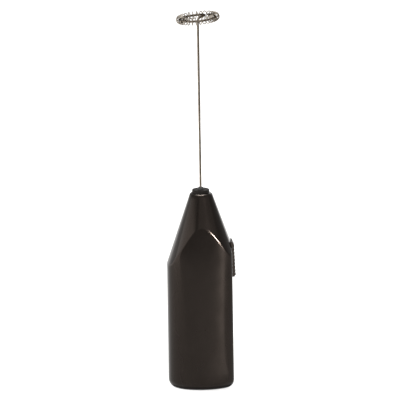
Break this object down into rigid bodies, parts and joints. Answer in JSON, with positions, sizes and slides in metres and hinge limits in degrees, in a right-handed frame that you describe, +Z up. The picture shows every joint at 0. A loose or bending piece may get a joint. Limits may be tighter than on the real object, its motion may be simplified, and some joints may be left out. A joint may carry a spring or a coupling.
{
  "type": "milk frother",
  "caption": "Hand-held battery milk frother: an oval black body tapering to a nose, a long steel shaft with a coiled ring whisk, and a ribbed slide switch on one side.",
  "frame": {"origin": "on the base, where the whisk shaft's axis meets it", "axes": "+Z up along the shaft to the whisk, +X towards the slide switch, -Y the front, +Y the battery cover"},
  "size_m": [0.04, 0.0258, 0.221],
  "materials": {
    "body_black": "moulded, semi-gloss black",
    "collar_black": "moulded, semi-gloss black",
    "switch_black": "fine satin black",
    "seal_black": "soft black seal",
    "whisk_steel": "drawn stainless wire, polished",
    "coupling_brass": "turned",
    "motor_can_steel": "zinc-plated pressing",
    "motor_cap_white": "natural nylon",
    "magnet_grey": "sintered ferrite",
    "armature_steel": "laminated steel",
    "motor_shaft_steel": "ground",
    "terminal_brass": "stamped",
    "frame_grey": "plain moulding",
    "tray_grey": "plain moulding",
    "cell_jacket": "steel can with a plain printed sleeve",
    "contact_nickel": "nickel-plated strip",
    "switch_copper": "phosphor bronze strip",
    "screw_steel": "plated",
    "lead_red": "PVC insulated lead",
    "lead_black": "PVC insulated lead"
  },
  "bodies": {
    "housing": {"front_shell": "body_black", "rear_shell": "body_black", "nose_collar": "collar_black", "shaft_seal": "seal_black", "motor_can": "motor_can_steel", "motor_end_cap": "motor_cap_white", "motor_magnet_left": "magnet_grey", "motor_magnet_right": "magnet_grey", "motor_terminal_left": "terminal_brass", "motor_terminal_right": "terminal_brass", "motor_cradle": "frame_grey", "battery_tray": "tray_grey", "aa_cell_left": "cell_jacket", "aa_cell_right": "cell_jacket", "contact_bridge": "contact_nickel", "contact_positive": "contact_nickel", "contact_negative": "contact_nickel", "battery_spring_left": "contact_nickel", "battery_spring_right": "contact_nickel", "switch_lower_contact": "switch_copper", "switch_upper_contact": "switch_copper", "shell_screw_left": "screw_steel", "shell_screw_right": "screw_steel", "lead_positive": "lead_red", "lead_negative": "lead_black", "lead_switch": "lead_red"},
    "whisk": {"whisk_wire": "whisk_steel", "whisk_coil": "whisk_steel", "shaft_coupling": "coupling_brass", "motor_shaft": "motor_shaft_steel", "motor_armature": "armature_steel"},
    "switch": {"switch_slider": "switch_black", "switch_moving_contact": "switch_copper"},
    "cover": {"battery_cover": "body_black"}
  },
  "joints": [
    {"name": "whisk_spin", "type": "hinge", "parent": "housing", "child": "whisk", "pos_m": [0, 0, 0.118], "axis": [0, 0, 1], "continuous": true},
    {"name": "switch_slide", "type": "slide", "parent": "housing", "child": "switch", "axis": [0, 0, 1], "range_m": [0, 0.004]},
    {"name": "battery_cover_slide", "type": "slide", "parent": "housing", "child": "cover", "axis": [0, 0, -1], "range_m": [0, 0.066]}
  ]
}
